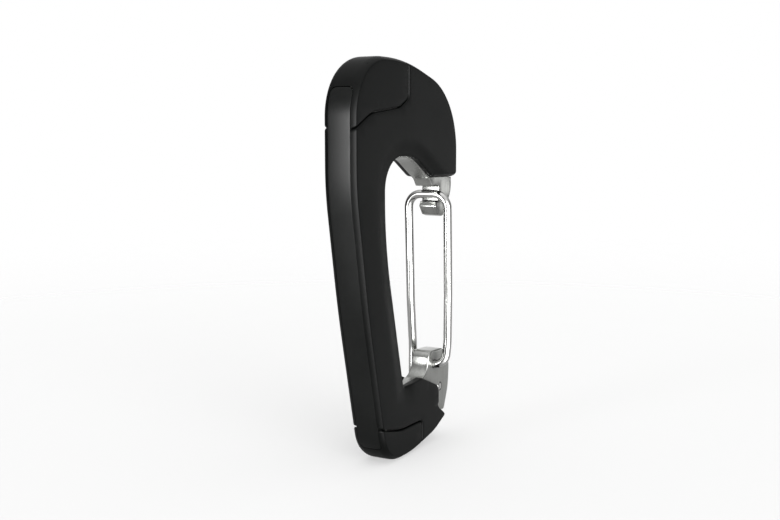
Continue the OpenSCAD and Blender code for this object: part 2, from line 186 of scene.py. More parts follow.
def corner_arc(a, b, c, r, step):
    """Points of the arc of radius r that rounds corner b. In 3-D too."""
    u, v = unit(a - b), unit(c - b)
    half = math.acos(float(np.clip(u @ v, -1, 1))) / 2
    centre = b + unit(u + v) * r / math.sin(half)
    first = b + u * r / math.tan(half) - centre
    last = b + v * r / math.tan(half) - centre
    along = unit(last - first * (last @ first) / (first @ first)) * r
    sweep = math.pi - 2 * half
    steps = max(3, math.ceil(sweep * r / step), math.ceil(sweep / math.radians(9)))
    turns = [sweep * k / steps for k in range(steps + 1)]
    return [centre + first * math.cos(t) + along * math.sin(t) for t in turns]


def path(corners, closed, step):
    """Points along the corners, each rounded with its radius, no further apart than step."""
    places = [np.array(c[:-1], float) for c in corners]
    count = len(corners)
    bends = []
    for i, corner in enumerate(corners):
        inner = closed or 0 < i < count - 1
        if inner and corner[-1] > 0:
            before, after = places[i - 1], places[(i + 1) % count]
            bends += corner_arc(before, places[i], after, corner[-1], step)
        else:
            bends.append(places[i])
    if closed:
        bends.append(bends[0])
    points = [bends[0]]
    for a, b in zip(bends, bends[1:]):
        parts = max(1, math.ceil(np.linalg.norm(b - a) / step))
        points += [a + (b - a) * k / parts for k in range(1, parts + 1)]
    points = [p for k, p in enumerate(points) if k == 0 or np.linalg.norm(p - points[k - 1]) > 1e-6]
    return np.array(points[:-1] if closed else points)


def normals(line, closed):
    """Unit normals to the left of a line's points."""
    if closed:
        along = np.roll(line, -1, 0) - np.roll(line, 1, 0)
    else:
        along = np.gradient(line, axis=0)
    along /= np.linalg.norm(along, axis=1)[:, None]
    return np.stack([-along[:, 1], along[:, 0]], 1)


def shifted(line, d, closed=True):
    """The line moved to its left by d, which is inwards on a counterclockwise outline."""
    return line + normals(line, closed) * d


def distance(points, line, closed):
    """How far each point lies from a line."""
    ends = np.roll(line, -1, 0) if closed else line[1:]
    starts = line if closed else line[:-1]
    run = ends - starts
    length = np.maximum((run ** 2).sum(1), 1e-18)
    out = np.empty(len(points))
    for at in range(0, len(points), 1500):
        part = points[at:at + 1500, None, :] - starts[None]
        t = np.clip((part * run[None]).sum(2) / length[None], 0, 1)
        gap = part - t[..., None] * run[None]
        out[at:at + 1500] = np.sqrt((gap ** 2).sum(2).min(1))
    return out


def inside(points, line):
    """Whether each point lies inside a closed outline."""
    a, b = line, np.roll(line, -1, 0)
    x, z = points[:, None, 0], points[:, None, 1]
    crosses = (a[None, :, 1] > z) != (b[None, :, 1] > z)
    rise = np.where(np.abs(b[:, 1] - a[:, 1]) < 1e-12, 1e-12, b[:, 1] - a[:, 1])
    at = a[None, :, 0] + (z - a[None, :, 1]) / rise[None] * (b - a)[None, :, 0]
    return (crosses & (x < at)).sum(1) % 2 == 1


def sides_of(triangle):
    """A triangle's three sides, each from one corner to the next."""
    a, b, c = triangle
    return (a, b), (b, c), (c, a)


def triangulate(loop, free=()):
    """Triangles inside a counterclockwise loop, with free points as corners too. Gives the
    points, the triangles and the loop's numbers among the points."""
    count = len(loop)
    edges = [(k, (k + 1) % count) for k in range(count)]
    points = [Vector(p) for p in loop] + [Vector(p) for p in free]
    found = delaunay_2d_cdt(points, edges, [], 0, 1e-6, True)
    number = {old: new for new, olds in enumerate(found[3]) for old in olds}
    ring = [number[k] for k in range(count)]
    border = set(zip(ring, ring[1:] + ring[:1]))
    owner = {side: k for k, triangle in enumerate(found[2]) for side in sides_of(triangle)}
    reached = {owner[side] for side in border}
    waiting = list(reached)
    while waiting:
        for a, b in sides_of(found[2][waiting.pop()]):
            beyond = owner.get((b, a))
            if (a, b) not in border and beyond not in reached:
                reached.add(beyond)
                waiting.append(beyond)
    return np.array([tuple(p) for p in found[0]]), [found[2][k] for k in sorted(reached)], ring


def clip(outline, other, keep_inside):
    """The part of an outline's area inside or outside another outline, as one loop."""
    points = [Vector(p) for p in outline] + [Vector(p) for p in other]
    n, m = len(outline), len(other)
    edges = [(k, (k + 1) % n) for k in range(n)]
    edges += [(n + k, n + (k + 1) % m) for k in range(m)]
    found = delaunay_2d_cdt(points, edges, [], 0, 1e-6, False)
    flat = np.array([tuple(p) for p in found[0]])
    triangles = np.array([t for t in found[2] if len(t) == 3])
    middles = flat[triangles].mean(1)
    keep = inside(middles, outline) & (inside(middles, other) == keep_inside)
    edges = {e for a, b, c in triangles[keep] for e in ((a, b), (b, c), (c, a))}
    following = {a: b for a, b in edges if (b, a) not in edges}
    loops = []
    while following:
        start, at = following.popitem()
        loop = [start]
        while at != start:
            loop.append(at)
            at = following.pop(at)
        loops.append(flat[loop])
    return max(loops, key=len)


def soften(loop, cut, least_turn=35):
    """Rounds the corners of a loop that turn left by more than least_turn degrees, from a
    distance cut before each corner to the same distance after it."""
    loop = [np.array(p) for p in loop]
    count = len(loop)
    out = []
    along = [unit(loop[(k + 1) % count] - loop[k]) for k in range(count)]
    corners = []
    for k in range(count):
        before, after = along[k - 1], along[k]
        turn = math.degrees(math.atan2(before[0] * after[1] - before[1] * after[0], before @ after))
        if turn > least_turn:
            corners.append(k)
    near = {}
    for k in corners:
        for side in (-1, 1):
            gone, at = 0.0, k
            while gone < cut:
                following = (at + side) % count
                gone += np.linalg.norm(loop[following] - loop[at])
                at = following
                near[at] = k
            near[(k, side)] = loop[at]
        near[k] = k
    done = set()
    for k in range(count):
        corner = near.get(k)
        if corner is None:
            out.append(loop[k])
        elif corner not in done:
            done.add(corner)
            a, b, c = near[(corner, -1)], loop[corner], near[(corner, 1)]
            for t in np.linspace(0, 1, 9):
                out.append(a * (1 - t) ** 2 + 2 * b * t * (1 - t) + c * t ** 2)
    return np.array(out)


GRID_WIDTH, GRID_HEIGHT = 56, 104    # a little more than the object's outline


def grid(step):
    """Evenly spaced points all over the object's outline."""
    x, z = np.meshgrid(np.arange(0, GRID_WIDTH, step), np.arange(0, GRID_HEIGHT, step))
    return np.stack([x.ravel(), z.ravel()], 1)


def spread(families, loop, closest, clear=0.012):
    """Points of all the families that lie inside the loop and clear of it, without any that
    nearly touches an earlier one."""
    points = np.concatenate(families)
    points = points[inside(points, loop)]
    points = points[distance(points, loop, True) > clear]
    taken, out = set(), []
    for p in points:
        cell = (round(p[0] / closest), round(p[1] / closest))
        if cell not in taken:
            taken.add(cell)
            out.append(p)
    return np.array(out)


def round_drop(d, r):
    """How far a rounded edge of radius r has dropped at a distance d from the edge."""
    inner = np.clip(r - d, 0, r)
    return r - np.sqrt(r * r - inner * inner)


def edge_drop(d):
    """How far the body's rounded outside has dropped below a face at a distance d from it."""
    inner = np.clip(EDGE_R - d, 0, EDGE_R)
    drop = EDGE_R * math.sin(EDGE_TURN) - np.sqrt(EDGE_R ** 2 - inner ** 2)
    return (drop + np.sqrt(drop ** 2 + CREASE ** 2)) / 2


def ring_depths(r, count, turn=math.pi / 2):
    """Distances from an edge at which a rounding of radius r is cut into even turns."""
    return [r * (1 - math.cos(turn * k / count)) for k in range(1, count + 1)]


# ---------------------------------------------------------------- meshes


SHARP_DEGREES = 40        # edges that turn by more stay sharp
SWEPT_SHARP_DEGREES = 50
BROKEN_SHARE = 0.16       # share of its radius that a bar's broken end loses


def place(points):
    """Drawing points, as x, y, z in millimetres, to metres in the object's frame."""
    return np.asarray(points, float) * MM + np.array([SPINE_X, 0, 0])


def new_piece(name, points, faces, sharp_degrees=SHARP_DEGREES):
    """A mesh object from drawing points, shaded smooth except along its sharp edges."""
    mesh = bpy.data.meshes.new(name)
    mesh.from_pydata([tuple(p) for p in place(points)], [], [tuple(map(int, f)) for f in faces])
    work = bmesh.new()
    work.from_mesh(mesh)
    bmesh.ops.remove_doubles(work, verts=work.verts, dist=0.0005 * MM)
    bmesh.ops.recalc_face_normals(work, faces=work.faces)
    work.to_mesh(mesh)
    work.free()
    piece = bpy.data.objects.new(name, mesh)
    bpy.context.scene.collection.objects.link(piece)
    shade(piece, sharp_degrees)
    return piece


def shade(piece, sharp_degrees):
    """Smooth shading, with the edges sharp where faces turn by more than sharp_degrees."""
    work = bmesh.new()
    work.from_mesh(piece.data)
    limit = math.radians(sharp_degrees)
    for face in work.faces:
        face.smooth = True
    for edge in work.edges:
        edge.smooth = len(edge.link_faces) == 2 and edge.calc_face_angle(0) < limit
    work.to_mesh(piece.data)
    work.free()


def carve(piece, cutters):
    """Cuts all the cutters out of the piece, and deletes them."""
    for cutter in cutters:
        cut = piece.modifiers.new("cut", "BOOLEAN")
        cut.operation = "DIFFERENCE"
        cut.solver = "MANIFOLD"
        cut.object = cutter
    bpy.context.view_layer.update()
    shown = piece.evaluated_get(bpy.context.evaluated_depsgraph_get())
    mesh = bpy.data.meshes.new_from_object(shown)
    piece.modifiers.clear()
    piece.data = mesh
    mesh.name = piece.name
    for cutter in cutters:
        bpy.data.objects.remove(cutter)
    shade(piece, SHARP_DEGREES)
    return piece


def box_cutter(low, high):
    """A box between two drawing points, to cut with."""
    corners = [(x, y, z) for x in (low[0], high[0]) for y in (low[1], high[1])
               for z in (low[2], high[2])]
    faces = [(0, 1, 3, 2), (4, 6, 7, 5), (0, 4, 5, 1), (2, 3, 7, 6), (0, 2, 6, 4), (1, 5, 7, 3)]
    return new_piece("cutter", corners, faces)


def prism_cutter(loop, y0, y1):
    """A loop in x and z with thickness from y0 to y1, to cut with."""
    flat, triangles, ring = triangulate(loop)
    return slab_mesh("cutter", flat, triangles, ring, y0, y1)


def walls(upper, lower):
    """Faces between two closed rings of point numbers."""
    pairs = list(zip(upper, lower))
    return [(d, a, b, c) for (a, d), (b, c) in zip(pairs, pairs[1:] + pairs[:1])]


def slab_mesh(name, flat, triangles, ring, low, high):
    """A solid between two heights over a plane triangulation. Heights are one number each, or
    one for each point."""
    n = len(flat)
    points = np.concatenate([
        np.stack([flat[:, 0], np.broadcast_to(low, n), flat[:, 1]], 1),
        np.stack([flat[:, 0], np.broadcast_to(high, n), flat[:, 1]], 1),
    ])
    faces = [tuple(t) for t in triangles] + [(n + a, n + c, n + b) for a, b, c in triangles]
    faces += walls([n + k for k in ring], ring)
    return new_piece(name, points, faces)


def half_slab(name, flat, triangles, ring, low, high, chamfer):
    """As slab_mesh, with one height at low, where a chamfer breaks the edge. The side of high
    may be above low or below it."""
    n, count = len(flat), len(ring)
    rim = flat[ring]
    side = np.sign(high.sum())
    edge = shifted(rim, chamfer)
    base, base_triangles, base_ring = triangulate(edge, spread([grid(1.7)], edge, 0.4, 0.4))
    points = np.concatenate([
        np.stack([flat[:, 0], high, flat[:, 1]], 1),
        np.stack([rim[:, 0], np.full(count, low + side * chamfer), rim[:, 1]], 1),
        np.stack([base[:, 0], np.full(len(base), low), base[:, 1]], 1),
    ])
    middle = [n + k for k in range(count)]
    bottom = [n + count + k for k in base_ring]
    faces = [tuple(t) for t in triangles]
    faces += [(n + count + a, n + count + c, n + count + b) for a, b, c in base_triangles]
    faces += walls(ring, middle) + walls(middle, bottom)
    return new_piece(name, points, faces)


def sweep(name, sections, looped=False):
    """A solid through sections, which are equal counts of points in 3-D. Looped joins the last
    section to the first, and otherwise the ends are closed."""
    rings, around = len(sections), len(sections[0])
    faces = []
    for k in range(rings if looped else rings - 1):
        low, high = k * around, (k + 1) % rings * around
        for i in range(around):
            j = (i + 1) % around
            faces.append((low + i, low + j, high + j, high + i))
    if not looped:
        faces.append(tuple(range(around)))
        faces.append(tuple(range((rings - 1) * around, rings * around))[::-1])
    return new_piece(name, np.concatenate(sections), faces, SWEPT_SHARP_DEGREES)


def tube(name, line, radius, sides=28, broken=(True, True)):
    """A round bar along a line of 3-D points. A broken end has its edge taken off."""
    along = np.gradient(line, axis=0)
    along /= np.linalg.norm(along, axis=1)[:, None]
    side = unit(np.cross(along[0], [1.0, 0.013, 0.007]))
    angles = np.linspace(0, 2 * math.pi, sides, endpoint=False)
    sections = []
    for p, t in zip(line, along):
        side = unit(side - t * (side @ t))
        up = np.cross(t, side)
        sections.append(p + radius * (np.outer(np.cos(angles), side) + np.outer(np.sin(angles), up)))
    if broken[0]:
        out = unit(line[0] - line[1]) * radius * BROKEN_SHARE
        sections.insert(0, line[0] + (sections[0] - line[0]) * (1 - BROKEN_SHARE) + out)
    if broken[1]:
        out = unit(line[-1] - line[-2]) * radius * BROKEN_SHARE
        sections.append(line[-1] + (sections[-1] - line[-1]) * (1 - BROKEN_SHARE) + out)
    return sweep(name, sections)


# ---------------------------------------------------------------- shared lines

SHELL_STEP = 0.6          # how far apart the outlines' points are
PLATE_STEP = 0.5
CAP_STEP = 0.3
# How far from a line a face has rows of points.
GROOVE_RINGS = [0.02, 0.06, 0.13, 0.23, 0.35, 0.5]
SOFT_RINGS = [0.4, 0.9, 1.5, 2.2, 2.9, 3.6, 4.3, 5.0]
CREASE_RINGS = [-1.6, -0.8, 0.8, 1.6, 3.2]
GRID_STEP = 2.5
PLATE_GRID_STEP = 4.0
FACE_POINT_GAP = 0.035    # points that nearly touch an earlier one are left out
PLATE_POINT_GAP = 0.03

shell_line = path(SHELL_CORNERS, True, SHELL_STEP)
plate_line = path(PLATE_CORNERS, True, PLATE_STEP)
opening_corners = [OPENING_START] + PLATE_CORNERS[:PLATE_INNER] + OPENING_END
opening_line = path(opening_corners, True, PLATE_STEP)[::-1]
soft_corners = [SHELL_CORNERS[k % len(SHELL_CORNERS)] for k in range(*SOFT_RANGE)]
soft_line = path(soft_corners + [SOFT_END], False, SHELL_STEP)
turning = np.linalg.norm(shell_line - np.array(SHELL_CORNERS[HOLLOW][:2]), axis=1).argmin()
outer_line = shell_line[:turning + 1]
inner_line = np.concatenate([shell_line[turning:], shell_line[:1]])
head_line = path(HEAD_CAP_CORNERS, True, CAP_STEP)
foot_line = path(FOOT_CAP_CORNERS, True, CAP_STEP)


def face_height(points, cap_lines):
    """Half the thickness of the covers and caps at points in x and z."""
    outside = edge_drop(distance(points, outer_line, False))
    opening = round_drop(distance(points, inner_line, False), OPENING_EDGE_R)
    height = HALF_T - np.maximum(outside, opening)
    slope = np.clip(1 - distance(points, soft_line, False) / SOFT_W, 0, 1)
    height = height - SOFT_DROP * slope * slope * (3 - 2 * slope)
    for line in cap_lines:
        height = height - round_drop(distance(points, line, True), GROOVE_R)
    return height


def face_points(loop, cap_lines):
    """Points where the covers' and caps' faces bend, and a loose grid between them."""
    depths = ring_depths(EDGE_R, 7, EDGE_TURN)
    depths += [depths[-1] + CREASE * k for k in CREASE_RINGS]
    families = [shifted(outer_line, d, False) for d in depths]
    families += [shifted(inner_line, d, False) for d in ring_depths(OPENING_EDGE_R, 4)]
    for line in cap_lines:
        for d in GROOVE_RINGS:
            families += [shifted(line, d), shifted(line, -d)]
    for d in SOFT_RINGS:
        families.append(shifted(soft_line, d, False)[::2])
        families.append(shifted(soft_line, -d, False)[::2])
    families.append(grid(GRID_STEP))
    return spread(families, loop, FACE_POINT_GAP)


def spine_section_line(z0, z1, step=0.8):
    """Points of the spine's surface between two heights, from the top down, their inward
    normals, and how far along the surface each point is."""
    fine = path([SHELL_CORNERS[k] for k in range(*SPINE_RANGE)], False, 0.1)
    left = normals(fine, False)
    keep = fine[:, 0] < SPINE_END_X
    fine, left = fine[keep], left[keep]
    gone = np.concatenate([[0], np.cumsum(np.linalg.norm(np.diff(fine, axis=0), axis=1))])
    top, low = np.interp([-max(z0, z1), -min(z0, z1)], -fine[:, 1], gone)
    count = max(2, round((low - top) / step) + 1)
    marks = np.linspace(top, low, count)
    line = np.stack([np.interp(marks, gone, fine[:, k]) for k in (0, 1)], 1)
    inward = np.stack([np.interp(marks, gone, left[:, k]) for k in (0, 1)], 1)
    return line, inward / np.linalg.norm(inward, axis=1)[:, None], marks - top


def strap(name, z0, z1, half_w, outer, depth, end_r, crown, edge_r, round_top, round_low):
    """A flat strip along the spine. outer is how deep its outside lies under the spine's surface
    at the middle, and depth the same of its inside. Its outside is crowned, its long edges are
    rounded, and either end may be rounded with the radius end_r."""
    line, inward, marks = spine_section_line(z0, z1, 0.8)
    extra = [end_r * (1 - math.cos(math.radians(a))) for a in range(0, 91, 10)]
    wanted = set(np.round(marks, 6))
    if round_top:
        wanted |= {round(e, 6) for e in extra}
    if round_low:
        wanted |= {round(marks[-1] - e, 6) for e in extra}
    at = np.array(sorted(wanted))
    at = at[np.concatenate([[True], np.diff(at) > 0.004])]
    line = np.stack([np.interp(at, marks, line[:, k]) for k in (0, 1)], 1)
    inward = np.stack([np.interp(at, marks, inward[:, k]) for k in (0, 1)], 1)
    sections = []
    for s, p, n in zip(at, line, inward):
        room = min(s if round_top else end_r, at[-1] - s if round_low else end_r, end_r)
        half = half_w - end_r + math.sqrt(max(end_r ** 2 - (end_r - room) ** 2, 0))
        half = max(half, half_w - end_r + 0.02)
        lip = float(round_drop(np.array(room), min(edge_r * 1.6, end_r))) if edge_r else 0
        ys = half * np.sin(np.linspace(-1, 1, 15) * math.pi / 2)
        section = []
        for y in ys:
            d = outer + crown * (y / half_w) ** 2 + lip
            if edge_r:
                d += float(round_drop(np.array(half - abs(y)), edge_r))
            section.append((p[0] + n[0] * d, y, p[1] + n[1] * d))
        for y in (half, 0, -half):
            section.append((p[0] + n[0] * depth, y, p[1] + n[1] * depth))
        sections.append(np.array(section))
    return sweep(name, sections)


def lead_cutter(play):
    """The channel of the lead, to cut with, which is larger than the lead by play."""
    return strap("cutter", LEAD_TOP + play, LEAD_LOW - play, LEAD_W / 2 + play, -2.0,
                 LEAD_T + 0.1, LEAD_END_R + play, 0, 0, True, True)


# ---------------------------------------------------------------- covers and caps

cap_head_line = shifted(head_line, GROOVE_GAP / 2)
cap_foot_line = shifted(foot_line, GROOVE_GAP / 2)
cover_head_line = shifted(head_line, -GROOVE_GAP / 2)
cover_foot_line = shifted(foot_line, -GROOVE_GAP / 2)
JUNCTION_CUT = 0.9        # how far from a corner its rounding starts

# Boxes cut out for the plugs and their springs: two opposite corners each.
PLUG_POCKETS = [
    ((-2, -3.35, 84.45), (27.2, 3.35, 97.15)),
    ((20, -2.4, 84.75), (39.15, 2.4, 97.05)),
    ((8, -2.95, 3.15), (33.9, 2.95, 10.55)),
    ((20, -1.35, 3.3), (39.9, 1.05, 10.5)),
]
SPRING_SEATS = [((29.3, 2.3, 88.4), (37.7, 2.9, 93.4)), ((34.0, 1.0, 5.2), (39.0, 1.55, 8.6))]
HEAD_CAVITIES = [
    ((5.15, -3.25, 84.6), (24.0, 3.25, 97.05)),
    ((20, -2.3, 84.85), (30, 2.3, 96.95)),
    ((1.5, -2.65, 87.1), (6.0, 2.65, 94.55)),
]
FOOT_CAVITIES = [
    ((16.4, -2.85, 3.3), (31.6, 2.85, 12.0)),
    ((30, -0.95, 3.4), (40, 0.95, 10.4)),
    ((13.5, -2.65, 4.6), (17.0, 2.65, 9.4)),
]


def cover(name, side):
    """The cover on one side of the plate, -1 near and 1 far."""
    loop = clip(shell_line, cover_head_line, False)
    loop = soften(clip(loop, cover_foot_line, False), JUNCTION_CUT)
    cuts = [cover_head_line, cover_foot_line]
    flat, triangles, ring = triangulate(loop, face_points(loop, cuts))
    heights = side * face_height(flat, cuts)
    piece = half_slab(name, flat, triangles, ring, side * COVER_PARTING, heights, COVER_CHAMFER)
    lines = [shifted(plate_line, -PLATE_PLAY), opening_line]
    reach = HALF_PLATE + POCKET_PLAY
    pockets = [prism_cutter(line, -reach, reach) for line in lines]
    boxes = PLUG_POCKETS + (SPRING_SEATS if side > 0 else [])
    pockets += [box_cutter(*ends) for ends in boxes]
    return carve(piece, pockets + [lead_cutter(COVER_PLAY)])


def cap(name, line, cavities, play):
    """A plug's cap, which closes one end of the body over its whole thickness."""
    loop = soften(clip(shell_line, line, True), JUNCTION_CUT)
    flat, triangles, ring = triangulate(loop, face_points(loop, [line]))
    height = face_height(flat, [line])
    piece = slab_mesh(name, flat, triangles, ring, height, -height)
    return carve(piece, [lead_cutter(play)] + [box_cutter(*ends) for ends in cavities])


# ---------------------------------------------------------------- steel and wire


def circle(middle, radius, count=48):
    """A circle's points in x and z, counterclockwise."""
    turn = np.linspace(0, 2 * math.pi, count, endpoint=False)
    return np.stack([middle[0] + radius * np.cos(turn), middle[1] + radius * np.sin(turn)], 1)


def plate(name):
    """The steel plate, with its edges rounded and two holes for the wire."""
    depths = ring_depths(PLATE_R, 4)
    families = [shifted(plate_line, d) for d in depths]
    families.append(grid(PLATE_GRID_STEP))
    free = spread(families, plate_line, PLATE_POINT_GAP)
    flat, triangles, ring = triangulate(plate_line, free)
    height = HALF_PLATE - round_drop(distance(flat, plate_line, True), PLATE_R)
    piece = slab_mesh(name, flat, triangles, ring, height, -height)
    holes = [circle(at, WIRE_R + HOLE_PLAY) for at in (PIVOT, ANCHOR)]
    return carve(piece, [prism_cutter(hole, -HALF_T, HALF_T) for hole in holes])


# The wire's course, as corners with a radius. Its far leg is split where it stays straight.
FAR_SPLIT = (45.18, LEG_Y, 55.0)
WIRE_STEP = 0.9
SWING_WIRE = [
    (PIVOT[0], 2.2, PIVOT[1], 0),
    (PIVOT[0], -LEG_Y, PIVOT[1], 3.0),
    (45.2, -LEG_Y, 27.0, 14),
    (45.35, -LEG_Y, 40.0, 60),
    (44.6, -LEG_Y, 67.3, 3.8),
    (44.6, LEG_Y, 67.3, 3.8),
    (*FAR_SPLIT, 0),
]
HELD_WIRE = [
    (*FAR_SPLIT, 0),
    (46.0, LEG_Y, 37.6, 60),
    (47.3, LEG_Y, 24.6, 20),
    (ANCHOR[0], LEG_Y, ANCHOR[1], 3.0),
    (ANCHOR[0], -2.42, ANCHOR[1], 0),
]

# ---------------------------------------------------------------- plugs and lead


def rounded_section(x, half_y, middle_z, half_z, corner, turn_points=6):
    """A rounded rectangle across x, with corners of the radius corner."""
    out = []
    for quarter, (sy, sz) in enumerate([(1, 1), (-1, 1), (-1, -1), (1, -1)]):
        for k in range(turn_points + 1):
            turn = math.pi / 2 * (quarter + k / turn_points)
            y = sy * (half_y - corner) + corner * math.cos(turn)
            z = sz * (half_z - corner) + corner * math.sin(turn)
            out.append((x, y, middle_z + z))
    return np.array(out)


def plug_shell(name, x0, x1, half_y, middle_z, half_z, corner, wall, windows):
    """A plug's folded metal shell: a rounded tube along x, with windows in its flat sides."""
    lip = wall * 0.4
    inner = dict(half_y=half_y - wall, half_z=half_z - wall, corner=max(corner - wall, 0.05))
    outer = dict(half_y=half_y, half_z=half_z, corner=corner)
    end = dict(half_y=half_y - lip, half_z=half_z - lip, corner=corner - lip * 0.8)
    sizes = [(x0, outer), (x1 - lip, outer), (x1, end), (x1, inner), (x0, inner)]
    sections = [rounded_section(x, s["half_y"], middle_z, s["half_z"], s["corner"]) for x, s in sizes]
    return carve(sweep(name, sections, True), [box_cutter(*w) for w in windows])


ROOT_HALF_Y = 2.55        # half the width of the lead's ends inside the plugs
ROOT_CORNER = 0.5
RIB_DEPTH = 0.22          # their ribs


def lead_root(name, xs, low, high):
    """The end of the lead inside a plug, with ribs that hold it."""
    sections = []
    for k, x in enumerate(xs):
        cut = 0.0 if k % 4 in (0, 3) else RIB_DEPTH
        half_z = (high - low) / 2 - cut
        sections.append(rounded_section(x, ROOT_HALF_Y - cut, (low + high) / 2, half_z, ROOT_CORNER))
    return sweep(name, sections)


CORE_DEPTH, CORE_R, CORE_PITCH = 1.05, 0.42, 1.4     # the wires inside the lead
CORE_HEAD_X, CORE_FOOT_X = 14.0, 21.5                # where they end
PIN_SHARE = 0.8           # how much of the pins' spread the wires' ends have
TYPE_A_PINS = [-3.5, -1.0, 1.0, 3.5]                 # heights of the pins from a plug's middle
SMALL_PINS = [1.3, 0, -0.65, -1.3]
WIRES = ["wire_power", "wire_data_minus", "wire_data_plus", "wire_ground"]


def wire_half(name, k, head):
    """One of the lead's four wires, from the split to its plug."""
    y = (k - 1.5) * CORE_PITCH
    end_x = CORE_HEAD_X if head else CORE_FOOT_X
    end_z = TYPE_A_Z + PIN_SHARE * TYPE_A_PINS[k] if head else SMALL_Z + SMALL_PINS[k]
    line, inward, _ = spine_section_line(LEAD_SPLIT, end_z, 2.0)
    run = line + inward * CORE_DEPTH
    if not head:
        run = run[::-1]
    corners = [(end_x, y, end_z, 0), (run[0][0], y, end_z, 0.7)]
    corners += [(p[0], y, p[1], 0) for p in run[1:]]
    return tube(name, path(corners, False, 2.0), CORE_R, 12)


# ---------------------------------------------------------------- materials


def add(tree, kind, **inputs):
    """A shader node, with some of its inputs set or linked."""
    node = tree.nodes.new(kind)
    for key, value in inputs.items():
        if hasattr(node, key) and key not in node.inputs:
            setattr(node, key, value)
        else:
            put(tree, node, key.replace("_", " "), value)
    return node


def put(tree, node, key, value):
    """Sets or links one input of a node."""
    if isinstance(value, bpy.types.NodeSocket):
        tree.links.new(value, node.inputs[key])
    else:
        node.inputs[key].default_value = value


RAMP_ENDS = (0.14, 0.40)  # grain values that get the dark and the light colour
ROUGH_ENDS = (0.3, 0.7)   # grain values that get the two roughnesses
BUMP_HEIGHT = 0.02        # height of the fine texture


def finish_of(name, dark, light, rough, metallic=0.0, specular=0.5, grain=900.0, bump=0.0,
              bump_size=4000.0, stretch=(1, 1, 1), painted_shade_reach=0.0):
    """A material whose colour runs between dark and light in fine grains, whose roughness runs between
    the two numbers of rough, and whose surface has a fine texture. Where the last argument is over 0,
    painted shade darkens the colour in corners that are narrower than so many millimetres."""
    made = bpy.data.materials.new(name)
    made.use_nodes = True
    tree = made.node_tree
    shader = next(n for n in tree.nodes if n.type == "BSDF_PRINCIPLED")
    where = add(tree, "ShaderNodeTexCoord")
    scaled = add(tree, "ShaderNodeMapping", Vector=where.outputs["Object"], Scale=stretch)
    fine = add(tree, "ShaderNodeTexNoise", Vector=scaled.outputs[0], Scale=grain, Detail=3.0)
    broad = add(tree, "ShaderNodeTexNoise", Vector=scaled.outputs[0], Scale=grain / 14, Detail=4.0)
    both = add(tree, "ShaderNodeMath")
    both.operation = "MULTIPLY"
    tree.links.new(fine.outputs["Fac"], both.inputs[0])
    tree.links.new(broad.outputs["Fac"], both.inputs[1])
    ramp = add(tree, "ShaderNodeValToRGB", Fac=both.outputs[0])
    ramp.color_ramp.elements[0].position = RAMP_ENDS[0]
    ramp.color_ramp.elements[1].position = RAMP_ENDS[1]
    ramp.color_ramp.elements[0].color = (*dark, 1)
    ramp.color_ramp.elements[1].color = (*light, 1)
    colour = ramp.outputs["Color"]
    # painted shade: an ambient occlusion node darkens the colour in recesses and narrow corners, where
    # shade falls
    if painted_shade_reach:
        painted_shade_node = add(tree, "ShaderNodeAmbientOcclusion", samples=8)
        painted_shade_node.inputs["Distance"].default_value = painted_shade_reach * MM
        tree.links.new(colour, painted_shade_node.inputs["Color"])
        colour = painted_shade_node.outputs["Color"]
    put(tree, shader, "Base Color", colour)
    span = add(tree, "ShaderNodeMapRange", Value=broad.outputs["Fac"])
    span.inputs["From Min"].default_value = ROUGH_ENDS[0]
    span.inputs["From Max"].default_value = ROUGH_ENDS[1]
    span.inputs["To Min"].default_value = rough[0]
    span.inputs["To Max"].default_value = rough[1]
    put(tree, shader, "Roughness", span.outputs["Result"])
    shader.inputs["Metallic"].default_value = metallic
    shader.inputs["Specular IOR Level"].default_value = specular
    if bump:
        texture = add(tree, "ShaderNodeTexNoise", Vector=scaled.outputs[0], Scale=bump_size, Detail=2.0)
        raised = add(tree, "ShaderNodeBump", Height=texture.outputs["Fac"], Strength=bump)
        raised.inputs["Distance"].default_value = BUMP_HEIGHT * MM
        put(tree, shader, "Normal", raised.outputs["Normal"])
    return made


